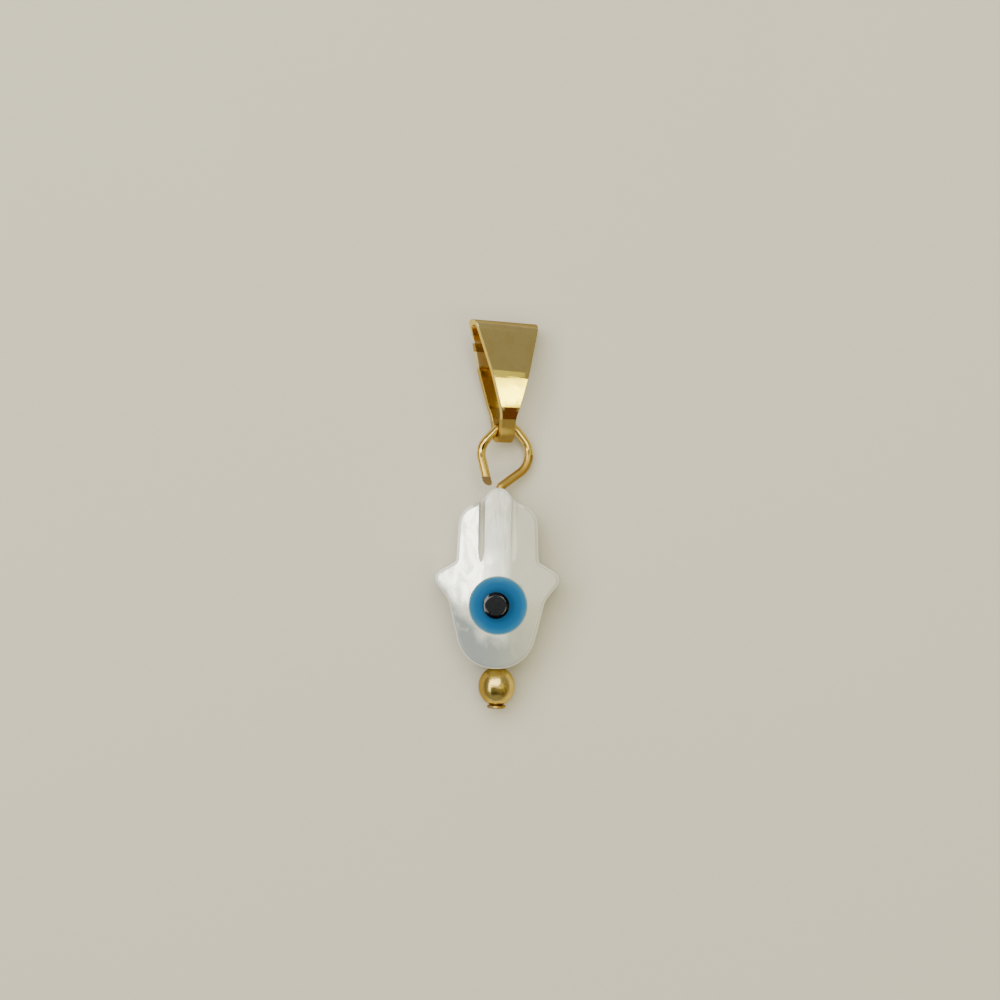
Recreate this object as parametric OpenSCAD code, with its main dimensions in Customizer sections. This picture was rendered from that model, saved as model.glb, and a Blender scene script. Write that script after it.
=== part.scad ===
/* [Hand] */
// Width from thumb tip to thumb tip
hand_w = 8.95; // [8.4:0.05:9.6]
// Length from the heel of the palm to the tip of the middle finger
hand_h = 13.05; // [12.6:0.05:13.6]
// Thickness of the shell slab
hand_t = 3.2; // [3:0.1:3.6]
// Rounding of the slab's polished edges
edge_r = 0.3; // [0.15:0.05:0.35]
// Width of the cuts between the fingers
cut_w = 0.46; // [0.3:0.02:0.5]
// Angle at which a cut's floor sinks towards the fingertips
cut_slope = 10; // [8:1:16]

/* [Eye] */
// Diameter of the blue iris
iris_d = 4.2; // [3.8:0.05:4.4]
// Depth of the iris below the shell's face
iris_depth = 0.6; // [0.4:0.05:0.7]
// Height of the iris's crown above the shell's face
iris_crown = 0.1; // [0.05:0.01:0.2]
// Diameter of the black pupil
pupil_d = 1.92; // [1.6:0.02:2.2]
// Height of the pupil above the iris
pupil_rise = 0.12; // [0.08:0.01:0.2]

/* [Wire] */
// Diameter of the pin's wire
wire_d = 0.63; // [0.5:0.01:0.7]
// Diameter of the hole through the hand and the bead
bore_d = 0.84; // [0.8:0.01:0.9]
// Diameter of the pin's flat head
head_d = 1.36; // [1.1:0.02:1.6]
// Thickness of the pin's flat head
head_t = 0.2; // [0.16:0.02:0.3]
// Angle by which the pin, and the bail on its loop, lean over to the right
lean = 26; // [22:1:28]

/* [Bead] */
// Diameter of the bead across its hole
bead_d = 2.66; // [2.4:0.02:2.8]
// How much longer than round the bead is along its hole
bead_stretch = 0.2; // [0.1:0.02:0.4]

/* [Bail] */
// Length of the bail from its fold to its throat's end
bail_len = 8.75; // [8.7:0.05:9.2]
// Width of the bail's strip at the fold
bail_top_w = 5.1; // [4.6:0.05:5.4]
// Width of the bail's strip round the wire
bail_neck_w = 1.16; // [1.04:0.02:1.2]
// Thickness of the bail's strip
bail_t = 0.4; // [0.34:0.02:0.42]
// Half the bail's outer depth at its belly
bail_belly = 1.36; // [1.3:0.02:1.4]
// Angle by which the bail's fold end is propped up on the belly
bail_pitch = 4; // [4:0.1:8]
// Angle by which the bail points aside on its wire, to the left of straight on
bail_yaw = 2.4; // [0:0.2:3]
// Angle by which the strip is folded askew
fold_skew = 3; // [0:0.5:4]

/* [Hidden] */
$fn = 64;

// Gap between pieces that lie against each other
seat = 0.02;
// Widest step along a sampled arc, in degrees
arc_step = 8;

// Columns of the tables of corners: position and rounding radius
ACROSS = 0;
UP = 1;
ROUND = 2;

// Right half of the hand's outline, heel first. Across and round are shares of half the
// hand's width, and up is a share of its length.
hand_corners = [
    [0.517, 0.000, 0.617], // heel of the palm
    [0.780, 0.378, 0.314], // under the thumb
    [1.076, 0.510, 0.161], // thumb's tip
    [0.666, 0.594, 0.090], // between thumb and finger
    [0.634, 0.874, 0.359], // outer finger's shoulder
    [0.269, 0.928, 0.056], // between outer and middle finger
    [0.103, 1.000, 0.179], // middle finger's tip
];
// Cuts between the fingers: across as a share of half the hand's width, and the height of
// the cut's lower end as a share of the hand's length
finger_cuts = [
    [-0.264, 0.586],
    [0.262, 0.590],
];
// Centre of the eye as a share of the hand's length
eye_up = 0.352;
// How far the drilled bore and the eye sit to the right of the hand's middle
aside = 0.1;
// How far the pupil sits to the left of the eye's centre
pupil_drift = 0.14;
// How far the pupil reaches below the shell's face
pupil_depth = 0.2;

// Path of the wire's centreline above the hand's tip: across, up and bend radius
loop_corners = [
    [0.00, -0.50, 0.00], // in the hole
    [0.00, 0.08, 0.40], // out of the hole
    [3.10, 2.20, 1.60], // right corner
    [0.52, 5.12, 1.25], // under the bail
    [-1.74, 2.94, 1.40], // left corner
    [-1.05, 0.50, 0.00], // cut end
];
// Sides of the loop's wire
wire_sides = 16;
// Slope of the cutter's bevel across the wire's end, and from its top to its underside
end_bevel = 0.8;
end_rake = 0.7;

// Front half of the bail's side profile, from its throat's end up to its fold: out from
// the middle as a share of the belly, down from the fold in millimetres, and rounding
bail_side = [
    [0.600, bail_len, 0.74], // throat's end
    [0.600, 7.75, 1.00], // throat
    [0.920, 6.30, 1.20], // lower shoulder
    [0.990, 3.80, 3.00], // belly
    [0.540, 0.00, 0.70], // fold
];
// Distance down from the fold at which the strip's taper ends
taper_end = 6.8;
// Bend radius of the strip's outline where the taper meets the neck
neck_round = 3;
// Distance down from the fold to the wire inside the throat
wire_down = 7.66;
// Slit where the strip's two ends meet, and its distance down from the fold
slit = 0.06;
slit_down = 7.85;

hand_half = hand_w / 2;
hand_mid = hand_t / 2;
bead_half = bead_stretch / 2 + sqrt(pow(bead_d / 2, 2) - pow(bore_d / 2, 2));
bead_y = -seat - bead_half;
head_y = bead_y - bead_half - seat;
pin_foot = head_y - head_t;
// Point of the loop's centreline that the bail hangs on, in the loop's plane
bail_wire = [0.16, hand_h + 4.44];
fold_y = bail_wire.y + wire_down * cos(bail_pitch);
// The heel of the hand stands at y = 0 until this shift centres the whole pendant
centre_y = -(fold_y + pin_foot) / 2;

function unit(v) = v / norm(v);
function left_of(v) = [-v.y, v.x];
function at(row) = [row[ACROSS], row[UP]];
// The direction from corner i to the next one of a closed or an open table
function along(rows, i) = unit(at(rows[(i + 1) % len(rows)]) - at(rows[i]));
function before(rows, i) = along(rows, (i + len(rows) - 1) % len(rows));
// The turn at corner i, positive to the left
function turn(rows, i) =
    atan2(cross(before(rows, i), along(rows, i)), before(rows, i) * along(rows, i));
// How far from corner i its arc begins and ends
function reach(rows, i) = rows[i][ROUND] * tan(abs(turn(rows, i)) / 2);
function arc_start(rows, i) = at(rows[i]) - before(rows, i) * reach(rows, i);
function arc_end(rows, i) = at(rows[i]) + along(rows, i) * reach(rows, i);
function arc_centre(rows, i) =
    arc_start(rows, i) + left_of(before(rows, i)) * rows[i][ROUND] * sign(turn(rows, i));
// The outline moved inwards by d, its corners running anticlockwise
function inset(rows, d) = [
    for (i = [0:len(rows) - 1])
    let (
        n1 = left_of(before(rows, i)),
        n2 = left_of(along(rows, i)),
        p = at(rows[i]) + d * (n1 + n2) / (1 + n1 * n2)
    )
    [p.x, p.y, max(0, rows[i][ROUND] - d * sign(turn(rows, i)))]
];

// What an arc adds to its chord at corner i, reaching a little past the chord
module arc_sliver(rows, i) {
    r = rows[i][ROUND];
    out = at(rows[i]) - arc_centre(rows, i);
    chord = r * cos(turn(rows, i) / 2) - min(0.02, r / 10);
    translate(arc_centre(rows, i))
        rotate(atan2(out.y, out.x))
            intersection() {
                circle(r);
                translate([chord, -r])
                    square([r, 2 * r]);
            }
}

// A closed outline with true arcs at its corners
module rounded(rows) {
    count = len(rows);
    difference() {
        union() {
            polygon([
                for (i = [0:count - 1])
                each rows[i][ROUND] > 0
                    ? [arc_start(rows, i), arc_end(rows, i)]
                    : [at(rows[i])]
            ]);
            for (i = [0:count - 1])
                if (rows[i][ROUND] > 0 && turn(rows, i) > 0)
                    arc_sliver(rows, i);
        }
        for (i = [0:count - 1])
            if (rows[i][ROUND] > 0 && turn(rows, i) < 0)
                arc_sliver(rows, i);
    }
}

// Both halves of a table whose rows run up its right side
function mirrored(rows) = concat(
    rows,
    [for (i = [len(rows) - 1:-1:0]) [-rows[i][ACROSS], rows[i][UP], rows[i][ROUND]]]
);

// Points along a closed outline, its arcs in even steps
function sampled(rows, steps) = [
    for (i = [0:len(rows) - 1])
    let (
        c = arc_centre(rows, i),
        a = arc_start(rows, i) - c,
        first = atan2(a.y, a.x)
    )
    for (k = [0:steps[i]])
    c + rows[i][ROUND] * [cos(first + turn(rows, i) * k / steps[i]),
                          sin(first + turn(rows, i) * k / steps[i])]
];

hand_rows = mirrored([
    for (row = hand_corners)
    [row[ACROSS] * hand_half, row[UP] * hand_h, row[ROUND] * hand_half]
]);
hand_steps = [
    for (i = [0:len(hand_rows) - 1]) max(2, ceil(abs(turn(hand_rows, i)) / arc_step))
];
// Edge rounding as rows of inset and height, from the back face to the front
edge_rings = concat(
    [for (a = [90:-30:0]) [edge_r * (1 - cos(a)), edge_r * (1 - sin(a))]],
    [for (a = [0:30:90]) [edge_r * (1 - cos(a)), hand_t - edge_r * (1 - sin(a))]]
);

// The slab, lofted through its outline at each height of the rounded edge
module slab() {
    rings = [for (e = edge_rings) sampled(inset(hand_rows, e[0]), hand_steps)];
    count = len(rings[0]);
    top = len(rings) - 1;
    points = [
        for (k = [0:top])
        for (p = rings[k]) [p.x, p.y, edge_rings[k][1]]
    ];
    walls = [
        for (k = [0:top - 1])
        for (i = [0:count - 1])
        let (
            j = (i + 1) % count,
            a = k * count + i,
            b = k * count + j
        )
        each [[a, a + count, b + count], [a, b + count, b]]
    ];
    // Point i faces its mirror image across the hand, so strips between them fill a face
    strips = [
        for (i = [0:count / 2 - 2])
        let (m = count - 1 - i)
        each [[i, i + 1, m - 1], [i, m - 1, m]]
    ];
    front = [for (f = strips) [for (v = [f[2], f[1], f[0]]) v + top * count]];
    polyhedron(points, concat(walls, strips, front));
}

// A straight cut with a round floor that sinks towards the fingertips
module finger_cut() {
    half = cut_w / 2;
    rotate([-cut_slope, 0, 0])
        rotate([90, 0, 180])
            linear_extrude(hand_h)
                union() {
                    translate([0, half])
                        circle(half);
                    translate([-half, half])
                        square([cut_w, hand_t]);
                }
}

module bore(length) {
    rotate([-90, 0, 0])
        cylinder(d = bore_d, h = length);
}

module hand() {
    color("#e9ebe4")
        translate([0, centre_y, 0])
            difference() {
                slab();
                translate([aside, -1, hand_mid])
                    bore(hand_h + 2);
                translate([aside, eye_up * hand_h, hand_t - iris_depth - seat])
                    cylinder(d = iris_d + 2 * seat, h = hand_t);
                for (cut = finger_cuts)
                    translate([cut.x * hand_half, cut.y * hand_h, hand_t])
                        finger_cut();
            }
}

// A disc with a domed top, its dome's rim at z = 0
module domed_disc(d, below, crown) {
    ball_r = (pow(d / 2, 2) + pow(crown, 2)) / (2 * crown);
    rotate_extrude()
        intersection() {
            translate([0, -below])
                square([d / 2, below + 2 * crown]);
            translate([0, crown - ball_r])
                circle(ball_r, $fn = 720);
        }
}

module eye_iris() {
    color("#2a78a8")
        translate([aside, centre_y + eye_up * hand_h, hand_t])
            difference() {
                domed_disc(iris_d, iris_depth, iris_crown);
                translate([-pupil_drift, 0, -pupil_depth - seat])
                    cylinder(d = pupil_d + 2 * seat, h = 1);
            }
}

module eye_pupil() {
    shoulder = pupil_rise;
    top = iris_crown + pupil_rise;
    color("#1c1d20")
        translate([aside - pupil_drift, centre_y + eye_up * hand_h, hand_t])
            rotate_extrude()
                union() {
                    translate([0, -pupil_depth])
                        square([pupil_d / 2, pupil_depth + top - shoulder]);
                    square([pupil_d / 2 - shoulder, top]);
                    translate([pupil_d / 2 - shoulder, top - shoulder])
                        circle(shoulder);
                }
}

module bead() {
    color("#d9a93a")
        translate([aside, centre_y + bead_y, hand_mid])
            rotate([-90, 0, 0])
                rotate_extrude()
                    intersection() {
                        translate([bore_d / 2, -bead_d])
                            square([bead_d, 2 * bead_d]);
                        union() {
                            for (end = [-1, 1])
                                translate([0, end * bead_stretch / 2])
                                    circle(d = bead_d);
                            square([bead_d, bead_stretch], center = true);
                        }
                    }
}

// Points along an open path, its bends in even steps
function route(rows) = [
    for (i = [0:len(rows) - 1])
    let (
        bent = i > 0 && i < len(rows) - 1,
        c = bent ? arc_centre(rows, i) : [0, 0],
        a = bent ? arc_start(rows, i) - c : [0, 0],
        steps = bent ? ceil(abs(turn(rows, i)) / arc_step) : 0
    )
    each bent
        ? [
            for (k = [0:steps])
            let (way = atan2(a.y, a.x) + turn(rows, i) * k / steps)
            c + rows[i][ROUND] * [cos(way), sin(way)]
        ]
        : [at(rows[i])]
];

// A round wire along a flat path, its last ring cut off aslant
module swept_wire(path, r, slant, rake) {
    last = len(path) - 1;
    points = [
        for (i = [0:last])
        let (
            way = unit(path[min(i + 1, last)] - path[max(i - 1, 0)]),
            side = left_of(way)
        )
        for (k = [0:wire_sides - 1])
        let (
            a = 360 * k / wire_sides,
            slope = i == last ? slant * cos(a) - rake * sin(a) : 0,
            p = path[i] + r * (cos(a) * side + slope * way)
        )
        [p.x, p.y, r * sin(a)]
    ];
    walls = [
        for (i = [0:last - 1])
        for (k = [0:wire_sides - 1])
        let (
            a = i * wire_sides + k,
            b = i * wire_sides + (k + 1) % wire_sides
        )
        each [[a, b + wire_sides, b], [a, a + wire_sides, b + wire_sides]]
    ];
    ends = [
        [for (k = [0:wire_sides - 1]) k],
        [for (k = [wire_sides - 1:-1:0]) last * wire_sides + k]
    ];
    polyhedron(points, concat(walls, ends));
}

module head_pin() {
    // The loop's first stretch lies just inside the shank's skin
    skin = 0.002;
    color("#c9971f")
        translate([aside, centre_y, hand_mid])
            rotate([0, lean, 0])
                union() {
                    translate([0, pin_foot, 0])
                        rotate([-90, 0, 0]) {
                            cylinder(d = head_d, h = head_t);
                            cylinder(d = wire_d, h = hand_h - pin_foot);
                        }
                    translate([0, hand_h, 0])
                        swept_wire(
                            route(loop_corners), wire_d / 2 - skin, end_bevel, end_rake
                        );
                }
}

// The bail's side profile as a closed table: across is depth and up is height from the fold
side_rows = mirrored([
    for (row = bail_side) [row[ACROSS] * bail_belly, -row[UP], row[ROUND]]
]);
// The strip's outline from the front, in the same frame
front_rows = mirrored([
    [bail_neck_w / 2 - 0.02, -bail_len - 1, 0],
    [bail_neck_w / 2, -taper_end, neck_round],
    [bail_top_w / 2, 0, 0],
    [bail_top_w / 2 + 0.3, 1, 0]
]);

// The folded strip, its fold at the origin and its throat towards -Y
module strip() {
    intersection() {
        rotate([0, 0, -fold_skew])
            rotate([0, -90, 0])
                translate([0, 0, -bail_top_w])
                    linear_extrude(2 * bail_top_w)
                        difference() {
                            rounded(side_rows);
                            rounded(inset(side_rows, bail_t));
                        }
        translate([0, 0, -bail_belly - 1])
            linear_extrude(2 * bail_belly + 2)
                rounded(front_rows);
    }
}

module bail() {
    color("#c9a13b")
        translate([aside, centre_y, hand_mid])
            rotate([0, lean, 0])
                translate(bail_wire)
                    rotate([bail_pitch, 0, bail_yaw])
                        translate([0, wire_down, 0])
                            difference() {
                                strip();
                                translate([-bail_top_w / 2, -slit_down, -bail_belly - 1])
                                    cube([bail_top_w, slit, bail_belly + 0.5]);
                            }
}

bail();
head_pin();
bead();
hand();
eye_iris();
eye_pupil();
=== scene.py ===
"""A shell hand pendant with an inlaid eye, on a gold pin with a bead and a folded bail.

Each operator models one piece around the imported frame. Lengths are in metres.
"""

import math
from typing import NamedTuple

import bmesh
import bpy
from bpy.props import FloatProperty, FloatVectorProperty, IntProperty, PointerProperty
from bpy.types import Operator, Panel, PropertyGroup
from mathutils import Matrix, Vector


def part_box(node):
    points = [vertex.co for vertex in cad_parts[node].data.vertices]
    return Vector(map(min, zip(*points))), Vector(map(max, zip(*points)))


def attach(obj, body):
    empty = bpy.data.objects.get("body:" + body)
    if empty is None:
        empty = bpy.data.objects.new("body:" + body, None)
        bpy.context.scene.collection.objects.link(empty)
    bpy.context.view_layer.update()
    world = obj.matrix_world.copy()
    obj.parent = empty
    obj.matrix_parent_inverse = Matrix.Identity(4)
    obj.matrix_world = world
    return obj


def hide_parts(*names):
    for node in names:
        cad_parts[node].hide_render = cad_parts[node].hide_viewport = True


bl_info = {
    "name": "Hand Pendant",
    "version": (1, 0, 0),
    "blender": (4, 5, 0),
    "location": "View3D > Sidebar > Pendant",
    "description": "Models a shell hand pendant with an inlaid eye, a bead, a pin and a bail",
    "category": "Add Mesh",
}

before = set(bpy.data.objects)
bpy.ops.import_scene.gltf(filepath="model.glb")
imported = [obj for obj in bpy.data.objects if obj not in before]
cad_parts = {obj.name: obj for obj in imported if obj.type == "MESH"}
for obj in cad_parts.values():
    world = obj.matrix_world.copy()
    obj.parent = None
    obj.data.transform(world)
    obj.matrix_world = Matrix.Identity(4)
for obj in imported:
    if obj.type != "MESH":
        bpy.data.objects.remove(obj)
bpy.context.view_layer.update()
HAND_LOW, HAND_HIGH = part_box("hand")
BEAD_LOW, BEAD_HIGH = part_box("bead")
IRIS_LOW, IRIS_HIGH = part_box("eye_iris")
PUPIL_LOW, PUPIL_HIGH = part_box("eye_pupil")

BODY = "root"
MM = 0.001
# Two points closer than this are one
TINY = 0.0005 * MM
# Turns the Z axis down the pin, and a section's Y axis up
DOWN_PIN = (math.pi / 2, 0, 0)
UPRIGHT = Matrix.Rotation(math.pi / 2, 4, "X")
# The hand's middle plane, where the pin runs, and the drilled axis
MIDDLE = (HAND_LOW.z + HAND_HIGH.z) / 2
AXIS_X = (BEAD_LOW.x + BEAD_HIGH.x) / 2
HEEL_Y = HAND_LOW.y
HAND_LENGTH = HAND_HIGH.y - HAND_LOW.y
HALF_HAND = (HAND_HIGH.x - HAND_LOW.x) / 2
BEAD_CENTRE = (BEAD_LOW + BEAD_HIGH) / 2
EYE_CENTRE = (IRIS_LOW + IRIS_HIGH) / 2
PUPIL_CENTRE = (PUPIL_LOW + PUPIL_HIGH) / 2


class Corner(NamedTuple):
    """A corner of a flat route: its place and the radius that rounds it."""

    x: float
    y: float
    radius: float


class Mark(NamedTuple):
    """A place on plated gold that is dull, darker from a stain or painted shade, or paler from
    bare gold or a painted highlight, each as a share.

    Each of its fades has an axis and the millimetres where it begins and ends.
    """

    dull: float
    stain_and_shade: float
    pale: float
    fades: tuple


class Plating(NamedTuple):
    """A gold plate: its roughness and wear, its lines to a millimetre, and its marks."""

    name: str
    roughness: float
    wear: float
    lines_across: float
    lines_along: float
    relief: float
    marks: tuple


class Sheet(NamedTuple):
    """A level softbox or card between two corners. Only a softbox has watts."""

    name: str
    low: tuple
    high: tuple
    height: float
    tint: tuple
    watts: float = 0.0

    def middle(self):
        return (*((low + high) / 2 for low, high in zip(self.low, self.high)), self.height)

    def size(self):
        return [high - low for low, high in zip(self.low, self.high)]


class Rounding(NamedTuple):
    """The arc at a corner: its start, end and centre, and its turn in radians."""

    start: Vector
    end: Vector
    centre: Vector
    turn: float


# Right half of the hand's outline, heel first. x and radius are shares of half its width,
# and y is a share of its length.
HAND_CORNERS = (
    Corner(0.517, 0.000, 0.617),  # heel of the palm
    Corner(0.780, 0.378, 0.314),  # under the thumb
    Corner(1.076, 0.510, 0.161),  # thumb's tip
    Corner(0.666, 0.594, 0.090),  # between thumb and finger
    Corner(0.634, 0.874, 0.359),  # outer finger's shoulder
    Corner(0.269, 0.928, 0.056),  # between outer and middle finger
    Corner(0.103, 1.000, 0.179),  # middle finger's tip
)
# Lower ends of the cuts between the fingers, as the same shares
CUT_ENDS = ((-0.264, 0.586), (0.262, 0.590))
# Path of the pin's wire in millimetres above the hand's tip
LOOP_CORNERS = (
    Corner(0.00, 0.08, 0.40),  # out of the hole
    Corner(3.10, 2.20, 1.60),  # right corner
    Corner(0.52, 5.12, 1.25),  # under the bail
    Corner(-1.74, 2.94, 1.40),  # left corner
    Corner(-1.05, 0.50, 0.00),  # cut end
)
# Front half of the bail's side profile, from its throat's end to its fold: x is a share of
# the belly, y is millimetres down from the fold, radius is millimetres
BAIL_CORNERS = (
    Corner(0.600, 8.75, 0.74),  # throat's end
    Corner(0.600, 7.75, 1.00),  # throat
    Corner(0.920, 6.30, 1.20),  # lower shoulder
    Corner(0.990, 3.80, 3.00),  # belly
    Corner(0.540, 0.00, 0.70),  # fold
)
# How far one segment turns round a bend
STRIP_STEP = math.radians(2.5)
OUTLINE_STEP = math.radians(4)
ROUND_STEP = math.radians(5)
CUT_STEP = math.radians(10)
IRIS_STEP = math.radians(0.4)
PUPIL_STEP = math.radians(12)

# Marks are placed across the pin from its axis, along it from the frame's origin, and up
# out of the loop, which leans about that axis
ACROSS, ALONG, UP = range(3)
BACK_LEG = (UP, 0.0, -0.3)
# A stretch inside the back leg that is painted paler, as a highlight
PAINTED_HIGHLIGHT_STRETCH = (BACK_LEG, (ALONG, 10.6, 10.9), (ALONG, 11.9, 11.8))
BAIL_GOLD = Plating(
    name="rolled gold",
    roughness=0.05,
    wear=0.3,
    lines_across=9.0,
    lines_along=0.35,
    relief=0.0006 * MM,
    marks=(
        Mark(0.7, 0.75, 0.0, ((ALONG, 7.05, 6.85),)),  # rubbed by the wire at the throat
        Mark(0.3, 0.0, 0.1, ((ALONG, 13.0, 13.9),)),  # rubbed along the fold
        Mark(1.0, 0.0, 1.0, (BACK_LEG, (ALONG, 12.3, 12.5))),  # unpolished, so matt, and painted paler as light inside the fold
        Mark(0.4, 0.8, 0.0, (BACK_LEG, (ALONG, 11.8, 11.9), (ALONG, 12.5, 12.4))),  # painted shade: a darker band inside the back leg, below the fold
        # painted highlight: the stretch is paler and matt
        Mark(0.5, 0.0, 0.4, PAINTED_HIGHLIGHT_STRETCH),
        Mark(0.4, 0.0, 0.6, ((ACROSS, -1.6, -1.8), *PAINTED_HIGHLIGHT_STRETCH)),  # its left edge, with a stronger painted highlight
        Mark(0.2, 0.6, 0.0, (BACK_LEG, (ALONG, 10.7, 10.5), (ALONG, 6.8, 7.0))),  # painted shade: darker low inside the back leg
    ),
)
PIN_GOLD = Plating(
    name="drawn gold wire",
    roughness=0.08,
    wear=0.5,
    lines_across=5.0,
    lines_along=1.2,
    relief=0.0008 * MM,
    marks=(
        # sawn end
        Mark(1.0, 1.0, 0.5, ((ALONG, 2.86, 2.76), (ACROSS, -0.3, -0.5))),
        # painted shade at the lower right, which is also duller
        Mark(0.6, 0.75, 0.0, ((ALONG, 4.9, 3.9), (ACROSS, -0.4, -0.2))),
        # painted dark reflections on the right and on the left
        Mark(0.3, 1.0, 0.0, ((ALONG, 3.75, 3.95), (ALONG, 4.5, 4.4), (ACROSS, 2.2, 2.3))),
        Mark(0.0, 0.6, 0.0, ((ALONG, 4.75, 4.85), (ALONG, 5.4, 5.3), (ACROSS, -0.5, -0.7))),
        # head
        Mark(0.6, 0.4, 0.0, ((ALONG, -13.7, -13.8),)),
    ),
)
BEAD_GOLD = Plating(
    name="bead gold",
    roughness=0.16,
    wear=0.9,
    lines_across=2.0,
    lines_along=2.0,
    relief=0.03 * MM,
    marks=(Mark(0.1, 0.7, 0.0, ((ACROSS, -0.3, -0.9),)),),  # painted shade on its left
)

WHITE = (1.0, 0.99, 0.96)
CREAM = (1.0, 0.95, 0.6)
WARM = (0.97, 1.0, 0.10)
# Height of the small softboxes, which the gold mirrors
LOW_LIGHT = 0.203
SOFTBOXES = (
    Sheet("key softbox", (-0.42, 0.03), (0.14, 0.34), 0.35, WHITE, 2.74),
    Sheet("side softbox", (-0.42, -0.25), (-0.30, 0.025), 0.35, WHITE, 0.52),
    Sheet("wire softbox", (0.03, -0.100), (0.17, -0.025), LOW_LIGHT, CREAM, 0.110),
    Sheet("leg softbox", (-0.13, -0.085), (-0.02, -0.042), LOW_LIGHT, CREAM, 0.055),
    Sheet("band softbox", (0.215, -0.055), (0.31, -0.0349), LOW_LIGHT, WARM, 0.0835),
    Sheet("band bar softbox", (0.215, -0.0349), (0.31, -0.0331), LOW_LIGHT, WARM, 0.0035),
    Sheet("band top softbox", (0.215, -0.0331), (0.31, -0.0305), LOW_LIGHT, WARM, 0.0115),
    Sheet("band edge softbox", (0.13, -0.0305), (0.42, 0.075), LOW_LIGHT, WARM, 0.050),
)
DARK = (0.02, 0.018, 0.016)
MAROON = (0.12, 0.035, 0.018)
TAUPE = (0.24, 0.22, 0.19)
CARDS = (
    Sheet("bead card", (-0.0105, -0.0258), (0.0145, -0.0135), 0.0145, DARK),
    Sheet("loop card", (-0.0010, 0.005), (0.0034, 0.0071), 0.007, DARK),
    Sheet("bend card", (-0.0018, 0.0055), (-0.0010, 0.0072), 0.007, DARK),
    Sheet("shoulder card", (0.030, -0.075), (0.075, 0.001), 0.0335, MAROON),
    Sheet("fold card", (-0.02, 0.0145), (0.02, 0.06), 0.0001, TAUPE),
)
# Cards round the pupil's flat top, in millimetres from the eye's centre. They are open on
# the left, where the pupil mirrors the key light.
PUPIL_CARDS = (
    ((-1.0, 0.76), (1.8, 1.8)),
    ((0.76, -1.8), (1.8, 0.76)),
    ((-0.9, -1.8), (0.76, -0.76)),
    ((0.53, 0.53), (0.76, 0.76)),
    ((0.53, -0.76), (0.76, -0.53)),
    ((-0.76, -0.76), (-0.53, -0.53)),
)
PUPIL_CARD_HEIGHT = HAND_HIGH.z + 0.6 * MM


# Properties


def length(name, description, default):
    """A length that the user can change, in metres."""
    return FloatProperty(
        name=name, description=description, default=default, unit="LENGTH", precision=6
    )


def angle(name, description, degrees):
    """An angle that the user can change."""
    return FloatProperty(
        name=name, description=description, default=math.radians(degrees), subtype="ANGLE"
    )


def colour(name, description, default):
    """A colour that the user can change."""
    return FloatVectorProperty(
        name=name, description=description, default=default, subtype="COLOR", min=0, max=1
    )


class HandSizes(PropertyGroup):
    """Sizes of the shell hand"""

    thickness: length("Thickness", "Thickness of the slab", HAND_HIGH.z - HAND_LOW.z)
    edge_round: length("Edge", "Rounding of the polished edges", 0.3 * MM)
    bore: length("Bore", "Diameter of the hole for the pin", 0.84 * MM)
    cut_width: length("Cut", "Width of the cuts between the fingers", 0.46 * MM)
    cut_slope: angle("Cut slope", "How steeply a cut's floor sinks", 10)
    pocket_depth: length("Pocket", "Depth of the eye's pocket", 0.62 * MM)
    pocket_round: length("Pocket rim", "Rounding of the pocket's rim", 0.012 * MM)
    gap: length("Gap", "Gap between the hand, the bead and the pin's head", 0.02 * MM)
    inlay_gap: length("Inlay gap", "Gap round an inlay in its pocket", 0.006 * MM)


class EyeSizes(PropertyGroup):
    """Sizes of the inlaid eye"""

    iris_width: length("Iris", "Diameter of the iris", IRIS_HIGH.x - IRIS_LOW.x)
    iris_crown: length("Crown", "Rise of the iris above the shell", 0.1 * MM)
    iris_depth: length("Depth", "Depth of the iris below the shell's face", 0.6 * MM)
    pupil_width: length("Pupil", "Diameter of the pupil", PUPIL_HIGH.x - PUPIL_LOW.x)
    pupil_rise: length("Rise", "Rise of the pupil above the iris", 0.12 * MM)
    pupil_depth: length("Seat", "Depth of the pupil below the shell's face", 0.2 * MM)
    pupil_slope: length("Shoulder", "Width of the pupil's sloped shoulder", 0.2 * MM)


class WireSizes(PropertyGroup):
    """Sizes of the pin and the bead"""

    wire: length("Wire", "Diameter of the wire", 0.63 * MM)
    head: length("Head", "Diameter of the pin's head", 1.36 * MM)
    head_thickness: length("Head thickness", "Thickness of the pin's head", 0.2 * MM)
    head_round: length("Head rim", "Rounding of the head's rim", 0.07 * MM)
    lean: angle("Lean", "How far the loop leans over to the right", 26)
    slant: FloatProperty(name="Slant", description="Slope across the cut end", default=0.8)
    rake: FloatProperty(name="Rake", description="Slope down the cut end", default=0.7)
    bead: length("Bead", "Diameter of the bead", BEAD_HIGH.x - BEAD_LOW.x)
    bead_stretch: length("Stretch", "How much longer than round the bead is", 0.2 * MM)
    bead_round: length("Bead rim", "Rounding of the rims of the bead's hole", 0.03 * MM)
    sides: IntProperty(name="Sides", description="Sides of the wire", default=40)


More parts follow.
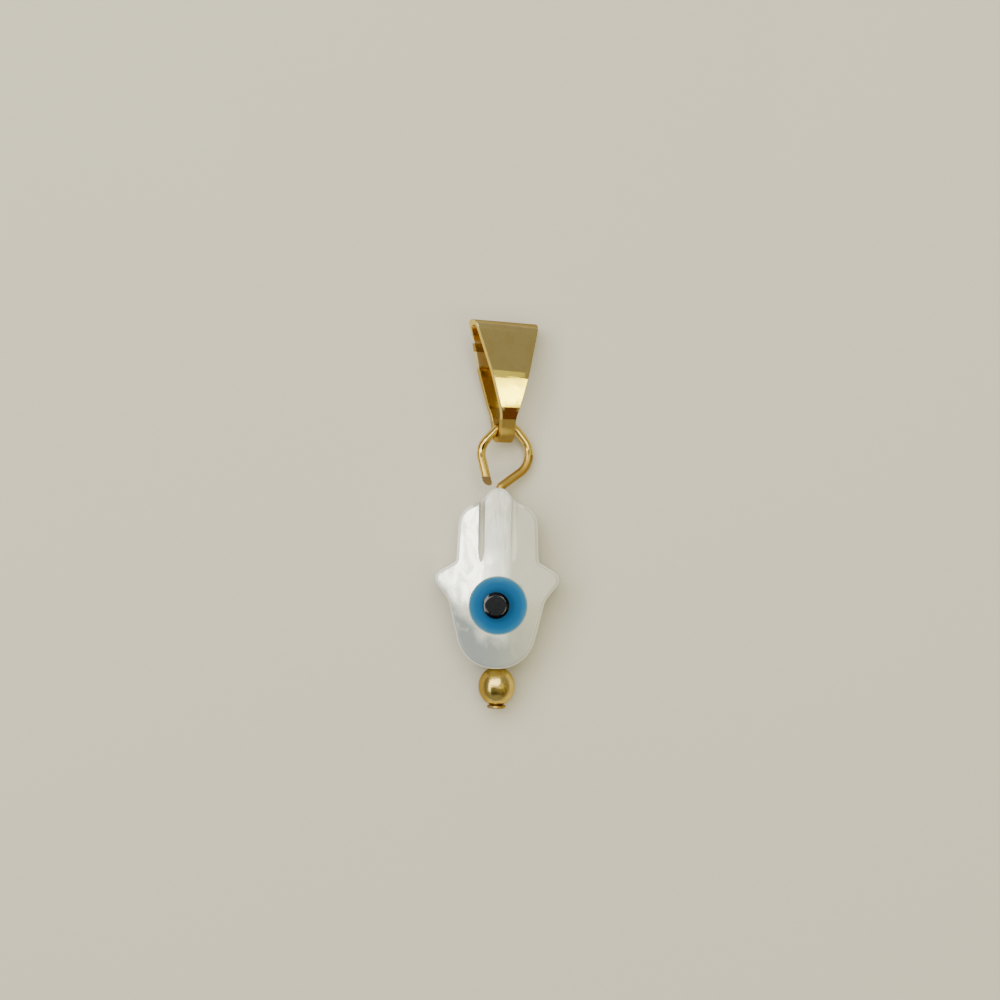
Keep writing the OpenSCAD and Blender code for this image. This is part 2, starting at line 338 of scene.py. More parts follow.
class BailSizes(PropertyGroup):
    """Sizes of the folded bail"""

    top_width: length("Top width", "Width of the strip at the fold", 5.1 * MM)
    neck_width: length("Neck width", "Width of the strip round the wire", 1.16 * MM)
    thickness: length("Thickness", "Thickness of the strip", 0.4 * MM)
    belly: length("Belly", "Half the depth at the belly", 1.36 * MM)
    taper_end: length("Taper", "Distance from the fold to the taper's end", 6.8 * MM)
    neck_round: length("Neck bend", "Rounding between taper and neck", 3 * MM)
    wire_down: length("Wire", "Distance from the fold to the wire", 7.66 * MM)
    slit: length("Slit", "Gap between the strip's two ends", 0.06 * MM)
    slit_down: length("Slit's place", "Distance from the fold to the slit", 7.85 * MM)
    edge_round: length("Edge", "Rounding of the strip's edges", 0.045 * MM)
    hang_x: length("Hang across", "Where it hangs, across the loop", 0.16 * MM)
    hang_y: length("Hang up", "Where it hangs, above the hand's tip", 4.44 * MM)
    pitch: angle("Pitch", "How far its fold end is propped up", 4)
    yaw: angle("Yaw", "How far it points to the left", 2.4)
    skew: angle("Skew", "How far the strip is folded askew", 3)


class Finishes(PropertyGroup):
    """Colours of the pendant and its stage"""

    bail_gold: colour("Bail", "Gold plate of the bail", (0.88, 0.68, 0.23))
    wire_gold: colour("Wire", "Gold plate of the pin", (0.82, 0.58, 0.15))
    bead_gold: colour("Bead", "Gold plate of the bead", (0.76, 0.575, 0.16))
    shell_pale: colour("Shell, pale", "Bright side of the shell", (0.99, 0.99, 0.87))
    shell_deep: colour("Shell, deep", "Shaded side of the shell", (0.50, 0.478, 0.345))
    shell_cool: colour("Shell, cool", "Blue-grey foot of the shell", (0.275, 0.30, 0.30))
    iris_blue: colour("Iris", "Blue of the iris", (0.0055, 0.088, 0.234))
    iris_rim: colour("Iris rim", "Paler blue at the rim", (0.018, 0.142, 0.288))
    pupil_black: colour("Pupil", "Black of the pupil", (0.001, 0.0015, 0.003))
    floor: colour("Floor", "Plain floor", (0.64, 0.60, 0.475))


# Flat routes and how they are drawn


def roundings(corners, closed):
    """The arc at each corner of a flat route. An open route's two ends have none."""
    points = [Vector((corner.x, corner.y, 0)) for corner in corners]
    count = len(points)
    made = []
    for i, here in enumerate(points):
        if not closed and i in (0, count - 1):
            made.append(Rounding(here, here, here, 0))
            continue
        back = (here - points[i - 1]).normalized()
        ahead = (points[(i + 1) % count] - here).normalized()
        turn = math.atan2(back.cross(ahead).z, back.dot(ahead))
        radius = corners[i].radius
        reach = radius * math.tan(abs(turn) / 2)
        start = here - back * reach
        side = Vector((-back.y, back.x, 0)) * math.copysign(radius, turn)
        made.append(Rounding(start, here + ahead * reach, start + side, turn))
    return made


def scaled(corners, x, y, radius):
    """Corners with each column scaled."""
    return [Corner(c.x * x, c.y * y, c.radius * radius) for c in corners]


def mirrored(corners):
    """Both halves of a table whose corners run up its right side."""
    return [*corners, *(Corner(-c.x, c.y, c.radius) for c in reversed(corners))]


def extrude(move):
    bpy.ops.mesh.extrude_region_move(TRANSFORM_OT_translate={"value": move})


def draw_along(route, step):
    """Extrudes what is selected along a flat route, spinning it round each corner."""
    here = route[0].start
    for bend in route:
        if (bend.start - here).length > TINY:
            extrude(bend.start - here)
        if bend.turn:
            bpy.ops.mesh.spin(
                steps=max(1, math.ceil(abs(bend.turn) / step)),
                angle=-bend.turn,
                center=bend.centre,
                axis=(0, 0, 1),
            )
        here = bend.end


# Modelling helpers


def select_only(piece):
    bpy.ops.object.select_all(action="DESELECT")
    piece.select_set(True)
    bpy.context.view_layer.objects.active = piece


def named(name):
    """The object that was just added, given a name."""
    bpy.context.object.name = name
    return bpy.context.object


def start_point(name, place):
    """A mesh of one point, left in edit mode: a plane with its corners merged."""
    bpy.ops.mesh.primitive_plane_add(size=MM)
    piece = named(name)
    bpy.ops.object.mode_set(mode="EDIT")
    bpy.ops.mesh.merge(type="CENTER")
    bpy.ops.transform.translate(value=place)
    return piece


def start_ring(name, radius, sides, place, turn=(0, 0, 0)):
    """A ring of points, left in edit mode with its place applied."""
    bpy.ops.mesh.primitive_circle_add(
        vertices=sides, radius=radius, location=place, rotation=turn
    )
    piece = named(name)
    bpy.ops.object.transform_apply()
    bpy.ops.object.mode_set(mode="EDIT")
    return piece


def pick(test, kind="EDGE"):
    """Selects the edges or faces of the mesh in edit mode that pass a test."""
    bpy.ops.mesh.select_mode(type=kind)
    bpy.ops.mesh.select_all(action="DESELECT")
    mesh = bpy.context.object.data
    edit = bmesh.from_edit_mesh(mesh)
    found = [part for part in (edit.edges if kind == "EDGE" else edit.faces) if test(part)]
    if not found:
        raise RuntimeError(f"nothing to select on {bpy.context.object.name}")
    for part in found:
        part.select = True
    edit.select_flush_mode()
    bmesh.update_edit_mesh(mesh)


def all_points(edge, test):
    return all(test(point.co) for point in edge.verts)


def level(edge, axis):
    """Whether both points of an edge are equally far along an axis."""
    first, second = edge.verts
    return abs(first.co[axis] - second.co[axis]) < TINY


def start_prism(name, route, step, depth, floor=0.0):
    """A drawn flat route, filled and extruded by a depth, left in edit mode."""
    piece = start_point(name, (*route[0].start.xy, floor))
    draw_along(route, step)
    bpy.ops.mesh.select_all(action="SELECT")
    bpy.ops.mesh.edge_face_add()
    extrude((0, 0, depth))
    return piece


def close_up():
    """Merges doubles, points the faces outwards and leaves edit mode."""
    bpy.ops.mesh.select_mode(type="VERT")
    bpy.ops.mesh.select_all(action="SELECT")
    bpy.ops.mesh.remove_doubles(threshold=TINY)
    bpy.ops.mesh.normals_make_consistent()
    edit = bmesh.from_edit_mesh(bpy.context.object.data)
    if edit.calc_volume(signed=True) < 0:
        bpy.ops.mesh.flip_normals()
    bpy.ops.object.mode_set(mode="OBJECT")


def place_mesh(piece, matrix):
    """Moves a mesh, and leaves its object at the origin."""
    select_only(piece)
    piece.matrix_world = matrix
    bpy.ops.object.transform_apply()


def apply_modifier(piece, kind, **settings):
    select_only(piece)
    modifier = piece.modifiers.new(kind.title(), kind)
    for name, value in settings.items():
        setattr(modifier, name, value)
    bpy.ops.object.modifier_apply(modifier=modifier.name)


def loop_plane(wire):
    """The leaning plane of the pin's loop, from the hand's heel up."""
    return Matrix.Translation((AXIS_X, HEEL_Y, MIDDLE)) @ Matrix.Rotation(wire.lean, 4, "Y")


def carve(piece, cutter, operation="DIFFERENCE"):
    """Cuts a piece with another mesh, which is used up."""
    apply_modifier(piece, "BOOLEAN", object=cutter, operation=operation, solver="EXACT")
    bpy.data.objects.remove(cutter, do_unlink=True)


def drill(piece, radius, depth, place, turn=(0, 0, 0), sides=96):
    """Drills a round hole from a place along the turned Z axis."""
    cutter = start_ring("drill", radius, sides, place, turn)
    bpy.ops.mesh.edge_face_add()
    extrude(Matrix.Rotation(turn[0], 3, "X") @ Vector((0, 0, depth)))
    close_up()
    carve(piece, cutter)


def finish_piece(piece, node, material, smooth=32):
    """Smooths a finished mesh, and hands it over in the place of a CAD node."""
    select_only(piece)
    bpy.ops.object.shade_smooth_by_angle(angle=math.radians(smooth))
    apply_modifier(piece, "WEIGHTED_NORMAL", keep_sharp=True, weight=100)
    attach(piece, BODY)
    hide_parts(node)
    piece.data.materials.append(material)


# Material helpers


class Tree:
    """Adds nodes to a material or a node group."""

    def __init__(self, tree):
        self.tree = tree

    def feed(self, sockets, values):
        """Gives each named socket a value, or a link from an output."""
        for name, value in values.items():
            if isinstance(value, bpy.types.NodeSocket):
                self.tree.links.new(value, sockets[name])
            else:
                sockets[name].default_value = value

    def add(self, kind, values=(), **settings):
        """A node with some settings and socket values."""
        node = self.tree.nodes.new(kind)
        for name, value in settings.items():
            setattr(node, name, value)
        self.feed(node.inputs, dict(values))
        return node

    def output(self, kind, values, **settings):
        """The first output of a new node."""
        return self.add(kind, values, **settings).outputs[0]

    def math(self, operation, first, second=0.0, third=0.0):
        values = {0: first, 1: second, 2: third}
        return self.output("ShaderNodeMath", values, operation=operation)

    def times(self, first, *others):
        for other in others:
            first = self.math("MULTIPLY", first, other)
        return first

    def plus(self, first, *others):
        for other in others:
            first = self.math("ADD", first, other)
        return first

    def minus(self, first, second):
        return self.math("SUBTRACT", first, second)

    def mix(self, share, first, second, blend="MIX"):
        """Two colours mixed."""
        values = {"Factor": share, 6: first, 7: second}
        node = self.add("ShaderNodeMix", values, data_type="RGBA", blend_type=blend)
        return node.outputs[2]

    def fade(self, value, low, high, to_low=0.0, to_high=1.0):
        """A smooth step from one value to another."""
        values = {0: value, 1: low, 2: high, 3: to_low, 4: to_high}
        return self.output("ShaderNodeMapRange", values, interpolation_type="SMOOTHSTEP")

    def noise(self, vector, scale, detail=3.0, roughness=0.5, distortion=0.0):
        values = {"Vector": vector, "Scale": scale, "Detail": detail}
        values |= {"Roughness": roughness, "Distortion": distortion}
        return self.output("ShaderNodeTexNoise", values)

    def mapped(self, vector, scale=(1, 1, 1), shift=(0, 0, 0), turn=(0, 0, 0)):
        values = {"Vector": vector, "Location": shift, "Rotation": turn, "Scale": scale}
        return self.output("ShaderNodeMapping", values)

    def millimetres(self, centre=(0, 0, 0), turn=(0, 0, 0)):
        """Object coordinates in millimetres from a centre, turned about it."""
        place = self.add("ShaderNodeTexCoord").outputs["Object"]
        moved = self.mapped(place, shift=[-part for part in centre])
        return self.mapped(moved, scale=[1 / MM] * 3, turn=turn)

    def bump(self, height, distance):
        return self.output("ShaderNodeBump", {"Height": height, "Distance": distance})

    def group(self, name, values):
        made = bpy.data.node_groups[name]
        return self.add("ShaderNodeGroup", values, node_tree=made).outputs


def new_material(name, values):
    """A material with a Principled shader whose constant sockets are set."""
    material = bpy.data.materials.new(name)
    material.use_nodes = True
    tree = Tree(material.node_tree)
    shader = material.node_tree.nodes["Principled BSDF"]
    tree.feed(shader.inputs, values)
    return material, tree, shader.inputs


def new_group(name, inputs, outputs):
    """A node group, with the kind of each input and output."""
    made = bpy.data.node_groups.new(name, "ShaderNodeTree")
    for way, sockets in (("INPUT", inputs), ("OUTPUT", outputs)):
        for socket, kind in sockets.items():
            made.interface.new_socket(name=socket, in_out=way, socket_type=f"NodeSocket{kind}")
    tree = Tree(made)
    given = tree.add("NodeGroupInput").outputs
    asked = tree.add("NodeGroupOutput").inputs
    return tree, given, asked


def rubbed_metal_group():
    """Plated metal: fine lines along one way, soft wear, dull places, stains and painted shade,
    and pale places that are unpolished or painted highlights.
    """
    tree, given, asked = new_group(
        "Rubbed metal",
        {
            "Vector": "Vector",
            "Colour": "Color",
            "Lines across": "Float",
            "Lines along": "Float",
            "Wear": "Float",
            "Roughness": "Float",
            "Dull": "Float",
            "Stain": "Float",
            "Pale": "Float",
        },
        {"Colour": "Color", "Roughness": "Float", "Height": "Float"},
    )
    across = given["Lines across"]
    stretch = tree.output("ShaderNodeCombineXYZ", {0: across, 1: given["Lines along"], 2: across})
    drawn = tree.output(
        "ShaderNodeVectorMath", {0: given["Vector"], 1: stretch}, operation="MULTIPLY"
    )
    lines = tree.noise(drawn, 1.0, detail=4.0, roughness=0.6)
    cloud = tree.noise(given["Vector"], 0.9, detail=3.0, roughness=0.6, distortion=0.4)
    worn = tree.fade(cloud, 0.42, 0.68)
    deepening = (0.88, 0.76, 0.60, 1)
    # Paler gold: unpolished, and also painted highlights
    unpolished_and_highlight = (0.95, 0.90, 0.74, 1)
    # Darker gold: stains, and also painted shade
    staining_and_shade = (0.40, 0.33, 0.24, 1)
    deeper = tree.mix(1.0, given["Colour"], deepening, blend="MULTIPLY")
    tinted = tree.mix(tree.times(worn, 0.5), given["Colour"], deeper)
    plated = tree.mix(tree.times(tree.fade(lines, 0.40, 0.66), 0.12), tinted, deeper)
    clean = tree.mix(given["Pale"], plated, unpolished_and_highlight)
    stained = tree.mix(1.0, clean, staining_and_shade, blend="MULTIPLY")
    hazy = tree.times(worn, given["Wear"], 0.14)
    streaked = tree.times(tree.fade(lines, 0.35, 0.75), 0.05)
    matt = tree.times(given["Dull"], 0.55)
    tree.feed(
        asked,
        {
            "Colour": tree.mix(given["Stain"], clean, stained),
            "Roughness": tree.plus(given["Roughness"], hazy, streaked, matt),
            "Height": lines,
        },
    )


def nacre_group():
    """Mother-of-pearl: a bright side, a darker side in painted shade, a blue-grey foot and a rim
    with a painted highlight, with growth lines.
    """
    tree, given, asked = new_group(
        "Nacre",
        {"Vector": "Vector", "Pale": "Color", "Deep": "Color", "Cool": "Color"},
        {"Colour": "Color", "Roughness": "Float", "Sheen": "Float", "Height": "Float"},
    )
    vector = given["Vector"]
    x, y, z = tree.add("ShaderNodeSeparateXYZ", {0: vector}).outputs
    drift = tree.minus(tree.noise(vector, 0.5, detail=4.0), 0.5)
    across = tree.plus(x, tree.times(drift, 0.8))
    # The foot's upper edge runs down from the left side to the eye
    aslant = tree.times(tree.plus(tree.math("MINIMUM", x, -1.0), 2.3), 1.1)
    up = tree.plus(y, aslant, tree.times(drift, 4.0))
    layers = tree.mapped(vector, scale=(1.1, 0.5, 1.0), turn=(0, 0, math.radians(-35)))
    bands = tree.noise(layers, 1.0, detail=5.0, roughness=0.58, distortion=1.1)
    clouds = tree.fade(bands, 0.36, 0.70)
    lines = tree.noise(tree.mapped(vector, scale=(6.0, 0.5, 2.0)), 1.0, roughness=0.55)
    streaks = tree.fade(lines, 0.42, 0.68)
    # Between the cuts the layers lie less towards the light
    finger = tree.times(tree.fade(x, -1.38, -1.28), tree.fade(y, 7.0, 9.0))
    low = tree.fade(up, 4.8, 2.8)
    left = tree.times(tree.fade(across, 0.7, -1.3), tree.fade(up, 3.4, 6.2))
    # The rounded edge round the face is cut across the layers, so it loses the sheen; its rim
    # gets a painted highlight
    turned_away = tree.fade(z, -0.001, -0.03)
    rim = tree.times(tree.fade(z, -0.02, -0.12), tree.fade(z, -1.4, -0.6))
    # Sawn faces inside the cuts are not polished
    between = tree.fade(tree.math("ABSOLUTE", x), 1.9, 1.75)
    above = tree.times(tree.fade(y, 7.2, 7.4), tree.fade(y, 12.4, 12.0))
    sawn = tree.times(tree.fade(z, -0.003, -0.02), between, above)
    # Colour
    # Painted shade: the right side of the face is darker
    side = tree.fade(across, 0.50, 1.10)
    # Random mottling, and painted shade on the middle finger between the cuts
    shade = tree.plus(
        tree.times(clouds, 0.34), tree.times(finger, tree.fade(streaks, 0.0, 1.0, 0.22, 0.50))
    )
    mottled = tree.mix(shade, given["Pale"], given["Deep"])
    top = tree.mix(tree.times(side, 0.94), mottled, given["Deep"])
    foot = tree.mix(tree.fade(x, -1.5, 4.0), given["Cool"], given["Deep"])
    sunk = tree.minus(1.0, tree.times(tree.fade(bands, 0.52, 0.74), 0.45))
    blended = tree.mix(tree.times(low, sunk), top, foot)
    tints = tree.add(
        "ShaderNodeValToRGB", {0: tree.noise(layers, 0.7, detail=2.0, distortion=1.5)}
    )
    stops = tints.color_ramp.elements
    stops[0].position = 0.30
    stops[0].color = (1.0, 0.95, 0.95, 1)
    stops[1].position = 0.70
    stops[1].color = (0.95, 0.98, 1.0, 1)
    stops.new(0.5).color = (0.96, 1.0, 0.96, 1)
    tinted = tree.mix(0.7, blended, tints.outputs[0], blend="MULTIPLY")
    # Painted highlight: the rim is made paler
    painted_rim_highlight = (0.95, 0.94, 0.87, 1)
    rim_highlighted = tree.mix(tree.times(rim, 0.6), tinted, painted_rim_highlight)
    # Sawn faces are tan; the right cut is painted paler, as light that lifts the shade in it
    left_cut = (0.54, 0.52, 0.41, 1)
    right_cut_painted_paler = (0.74, 0.72, 0.59, 1)
    sawn_and_painted_light = tree.mix(tree.fade(x, -0.5, 0.5), left_cut, right_cut_painted_paler)
    # Layers that lie towards the light mirror it
    open_part = tree.minus(1.0, tree.times(finger, 0.88))
    cloudy = tree.fade(clouds, 0.0, 1.0, 1.0, 0.50)
    polished = tree.minus(1.0, tree.math("MAXIMUM", sawn, turned_away))
    rough = tree.fade(bands, 0.3, 0.8, 0.15, 0.24)
    # In millimetres: the layers' lean, and fine ripples
    leftwards = tree.math("SMOOTH_MIN", tree.plus(x, 1.0), 0.0, 1.0)
    upwards = tree.math("SMOOTH_MAX", tree.minus(y, 5.0), 0.0, 3.0)
    lean = tree.plus(tree.times(leftwards, 0.15), tree.times(upwards, -0.2))
    tree.feed(
        asked,
        {
            "Colour": tree.mix(sawn, rim_highlighted, sawn_and_painted_light),
            "Roughness": tree.math("MAXIMUM", rough, tree.times(sawn, 0.55)),
            "Sheen": tree.times(left, open_part, cloudy, polished),
            "Height": tree.plus(lean, tree.times(bands, 0.012)),
        },
    )


def gold(plating, tint, lean=0.0):
    """A plated gold, its lines running along Y. Its marks lean with the pin's loop."""
    edge_tint = (0.80, 0.66, 0.42, 1)
    material, tree, shader = new_material(
        plating.name, {"Metallic": 1.0, "IOR": 1.5, "Specular Tint": edge_tint}
    )
    place = tree.millimetres(centre=(AXIS_X, 0, MIDDLE), turn=(0, -lean, 0))
    axes = tree.add("ShaderNodeSeparateXYZ", {0: place}).outputs
    shares = {"Dull": 0.0, "Stain": 0.0, "Pale": 0.0}
    for mark in plating.marks:
        mask = 1.0
        for axis, low, high in mark.fades:
            mask = tree.times(tree.fade(axes[axis], low, high), mask)
        for kind, share in zip(shares, (mark.dull, mark.stain_and_shade, mark.pale)):
            if share:
                shares[kind] = tree.math("MAXIMUM", tree.times(mask, share), shares[kind])
    out = tree.group(
        "Rubbed metal",
        {
            "Vector": place,
            "Colour": (*tint, 1),
            "Lines across": plating.lines_across,
            "Lines along": plating.lines_along,
            "Wear": plating.wear,
            "Roughness": plating.roughness,
            **shares,
        },
    )
    normal = tree.bump(out["Height"], plating.relief)
    tree.feed(
        shader,
        {"Base Color": out["Colour"], "Roughness": out["Roughness"], "Normal": normal},
    )
    return material


def shell_material(finishes):
    material, tree, shader = new_material(
        "polished nacre",
        {
            "Coat Weight": 0.5,
            "Coat Roughness": 0.06,
            "Coat IOR": 1.5,
            "Subsurface Weight": 0.3,
            "Subsurface Radius": (1.0, 0.97, 0.88),
            "Subsurface Scale": 0.5 * MM,
        },
    )
    out = tree.group(
        "Nacre",
        {
            "Vector": tree.millimetres(centre=(0, HEEL_Y, HAND_HIGH.z)),
            "Pale": (*finishes.shell_pale, 1),
            "Deep": (*finishes.shell_deep, 1),
            "Cool": (*finishes.shell_cool, 1),
        },
    )
    tree.feed(
        shader,
        {
            "Base Color": out["Colour"],
            "Roughness": out["Roughness"],
            "Metallic": out["Sheen"],
            "Normal": tree.bump(out["Height"], MM),
        },
    )
    return material


def iris_material(finishes, sizes):
    material, tree, shader = new_material(
        "blue inlay",
        {
            "Roughness": 0.3,
            "Specular IOR Level": 0.1,
            "Coat Weight": 0.12,
            "Coat Roughness": 0.04,
        },
    )
    place = tree.millimetres(centre=(*EYE_CENTRE.xy, 0))
    flat = tree.mapped(place, scale=(1, 1, 0))
    out_from_middle = tree.add("ShaderNodeVectorMath", {0: flat}, operation="LENGTH").outputs[1]
    radius = sizes.iris_width / 2 / MM
    paler = tree.fade(out_from_middle, 0.70 * radius, 0.98 * radius)
    deeper = tree.fade(out_from_middle, 0.72 * radius, 0.45 * radius)
    rim = tree.fade(out_from_middle, 0.93 * radius, 1.0 * radius)
    cloud = tree.noise(place, 0.8, detail=2.0)
    uneven = tree.plus(paler, tree.times(cloud, 0.12))
    blue = (*finishes.iris_blue, 1)
    darkening = (0.6, 0.55, 0.55, 1)
    glued_edge = (0.12, 0.24, 0.27, 1)
    inner = tree.mix(deeper, blue, tree.mix(1.0, blue, darkening, blend="MULTIPLY"))
    body = tree.mix(uneven, inner, (*finishes.iris_rim, 1))
    tree.feed(shader, {"Base Color": tree.mix(rim, body, glued_edge)})
    return material


def pupil_material(finishes):
    material, tree, shader = new_material(
        "black inlay", {"Specular IOR Level": 0.2, "Coat Weight": 1.0, "Coat IOR": 1.5}
    )
    specks = tree.noise(tree.millimetres(), 9.0, detail=3.0)
    black = (*finishes.pupil_black, 1)
    lighter = tree.mix(1.0, black, (1.5, 1.5, 1.6, 1), blend="MULTIPLY")
    mottled = tree.mix(specks, black, lighter)
    rough = tree.fade(specks, 0.3, 0.7, 0.16, 0.26)
    tree.feed(shader, {"Base Color": mottled, "Roughness": rough})
    return material


# Pieces


class PENDANT_OT_bail(Operator):
    """Fold the bail from a swept strip, cut to its tapered outline"""

    bl_idname = "pendant.bail"
    bl_label = "Bail"

    def execute(self, context):
        sizes = context.scene.pendant_bail
        wire = context.scene.pendant_wire
        half_strip = sizes.top_width
        side = mirrored(scaled(BAIL_CORNERS, sizes.belly, -MM, MM))
        seam = Corner(-side[0].x, -sizes.slit_down - 2 * sizes.slit, 0)
        piece = start_point("bail_strip", (seam.x, seam.y, -half_strip))
        extrude((0, 0, 2 * half_strip))
        bpy.ops.mesh.select_all(action="SELECT")
        route = [seam, side[-1], *side[:-1], seam]
        draw_along(roundings(route, closed=False), STRIP_STEP)
        close_up()
        apply_modifier(
            piece, "SOLIDIFY", thickness=sizes.thickness, offset=-1, use_even_offset=True
        )
        turned = Matrix.Rotation(-math.pi / 2, 4, "Y")
        place_mesh(piece, Matrix.Rotation(-sizes.skew, 4, "Z") @ turned)
        carve(piece, self.outline(sizes), "INTERSECT")
        carve(piece, self.slit(sizes))
        select_only(piece)
        bpy.ops.object.mode_set(mode="EDIT")
        close_up()
        apply_modifier(
            piece,
            "BEVEL",
            width=sizes.edge_round,
            segments=3,
            limit_method="ANGLE",
            angle_limit=math.radians(40),
            use_clamp_overlap=False,
        )
        on_wire = Matrix.Translation((sizes.hang_x, HAND_LENGTH + sizes.hang_y, 0))
        aim = Matrix.Rotation(sizes.yaw, 4, "Z")
        prop = Matrix.Rotation(sizes.pitch, 4, "X")
        raised = Matrix.Translation((0, sizes.wire_down, 0))
        place_mesh(piece, loop_plane(wire) @ on_wire @ aim @ prop @ raised)
        material = gold(BAIL_GOLD, context.scene.pendant_finishes.bail_gold, wire.lean)
        finish_piece(piece, "bail", material, smooth=20)
        return {"FINISHED"}

    def slit(self, sizes):
        """A thin blade that parts the strip's two ends behind the throat."""
        past_wire = 0.5 * MM
        bpy.ops.mesh.primitive_cube_add(
            size=1,
            location=(0, -sizes.slit_down - sizes.slit / 2, -sizes.belly),
            scale=(sizes.top_width, sizes.slit, 2 * (sizes.belly - past_wire)),
        )
        cutter = bpy.context.object
        place_mesh(cutter, cutter.matrix_world.copy())
        return cutter

    def outline(self, sizes):
        """A prism of the strip's outline seen from the front."""
        end = BAIL_CORNERS[0].y * MM + MM
        half_top = sizes.top_width / 2
        half_neck = sizes.neck_width / 2
        neck_taper = 0.02 * MM
        flare = 0.3 * MM
        corners = mirrored(
            [
                Corner(half_neck - neck_taper, -end, 0),
                Corner(half_neck, -sizes.taper_end, sizes.neck_round),
                Corner(half_top, 0, 0),
                Corner(half_top + flare, MM, 0),
            ]
        )
        route = roundings(corners, closed=True)
        depth = sizes.belly + MM
        cutter = start_prism("bail_outline", route, OUTLINE_STEP, 2 * depth, floor=-depth)
        close_up()
        return cutter


class PENDANT_OT_head_pin(Operator):
    """Draw the pin's wire from its flat head through the loop to its cut end"""

    bl_idname = "pendant.head_pin"
    bl_label = "Head pin"

    def execute(self, context):
        sizes = context.scene.pendant_wire
        radius = sizes.wire / 2
        seat = context.scene.pendant_hand.gap
        head_top = BEAD_LOW.y - HEEL_Y - seat
        loop = [
            Corner(c.x, HAND_LENGTH + c.y, c.radius) for c in scaled(LOOP_CORNERS, MM, MM, MM)
        ]
        end = Vector((*loop[-1][:2], 0))
        way = (end - roundings(loop, closed=False)[-2].end).normalized()
        spare = 1.3
        reach = spare * radius * (sizes.slant + sizes.rake)
        loop[-1] = Corner(*(end - way * reach).xy, 0)
        route = roundings([Corner(0, head_top, 0), *loop], closed=False)
        piece = start_ring("pin_wire", radius, sizes.sides, route[0].start, DOWN_PIN)
        draw_along(route, ROUND_STEP)
        extrude(2 * way * reach)
        self.cut_end(end, way, reach, sizes)
        self.upset_head(head_top, sizes)
        close_up()
        place_mesh(piece, loop_plane(sizes))
        material = gold(PIN_GOLD, context.scene.pendant_finishes.wire_gold, sizes.lean)
        finish_piece(piece, "head_pin", material)
        return {"FINISHED"}

    def cut_end(self, end, way, reach, sizes):
        """Cuts the wire's last stretch off aslant."""
        across = Vector((-way.y, way.x, 0)) * sizes.slant
        down = Vector((0, 0, sizes.rake))
        pick(
            lambda face: abs((face.calc_center_median() - end).dot(way)) < TINY
            and (face.calc_center_median() - end).length < 2 * reach,
            "FACE",
        )
        slope = way - across + down
        bpy.ops.mesh.bisect(plane_co=end, plane_no=slope, use_fill=True, clear_outer=True)

    def upset_head(self, head_top, sizes):
        """Spreads the wire's foot into a flat head with a rounded rim."""
        centre = Vector((0, head_top, 0))
        pick(lambda edge: all_points(edge, lambda p: abs(p.y - head_top) < TINY))
        extrude((0, 0, 0))
        grow = sizes.head / sizes.wire
        bpy.ops.transform.resize(value=(grow, 1, grow), center_override=centre)
        extrude((0, -sizes.head_thickness, 0))
        bpy.ops.mesh.edge_face_add()
        foot = head_top - sizes.head_thickness
        rim = sizes.head / 2 - TINY
        pick(
            lambda edge: level(edge, 1)
            and all_points(
                edge, lambda p: foot - TINY < p.y < head_top + TINY and p.xz.length > rim
            )
        )
        bpy.ops.mesh.bevel(offset=sizes.head_round, segments=4)


class PENDANT_OT_bead(Operator):
    """Turn the round bead and drill it"""

    bl_idname = "pendant.bead"
    bl_label = "Bead"

    def execute(self, context):
        sizes = context.scene.pendant_wire
        bore = context.scene.pendant_hand.bore / 2
        bpy.ops.mesh.primitive_uv_sphere_add(
            segments=96,
            ring_count=64,
            radius=sizes.bead / 2,
            location=BEAD_CENTRE,
            rotation=DOWN_PIN,
            scale=(1, 1, 1 + sizes.bead_stretch / sizes.bead),
        )
        piece = named("bead_ball")
        bpy.ops.object.transform_apply()
        bpy.ops.object.mode_set(mode="EDIT")
        pick(lambda face: self.off_axis(face.calc_center_median()) < bore, "FACE")
        bpy.ops.mesh.delete(type="FACE")
        pick(lambda edge: edge.is_boundary)
        rim = self.off_axis(self.any_selected())
        extrude((0, 0, 0))
        inwards = bore / rim
        bpy.ops.transform.resize(value=(inwards, 1, inwards), center_override=BEAD_CENTRE)
        bpy.ops.mesh.bridge_edge_loops()
        pick(
            lambda edge: level(edge, 1)
            and all_points(edge, lambda p: self.off_axis(p) < bore + TINY)
        )
        bpy.ops.mesh.bevel(offset=sizes.bead_round, segments=3)
        close_up()
        material = gold(BEAD_GOLD, context.scene.pendant_finishes.bead_gold)
        finish_piece(piece, "bead", material)
        return {"FINISHED"}

    def off_axis(self, place):
        """How far a place is from the bead's drilled axis."""
        return math.hypot(place.x - BEAD_CENTRE.x, place.z - BEAD_CENTRE.z)

    def any_selected(self):
        """The place of one selected point."""
        edit = bmesh.from_edit_mesh(bpy.context.object.data)
        return next(point.co for point in edit.verts if point.select)


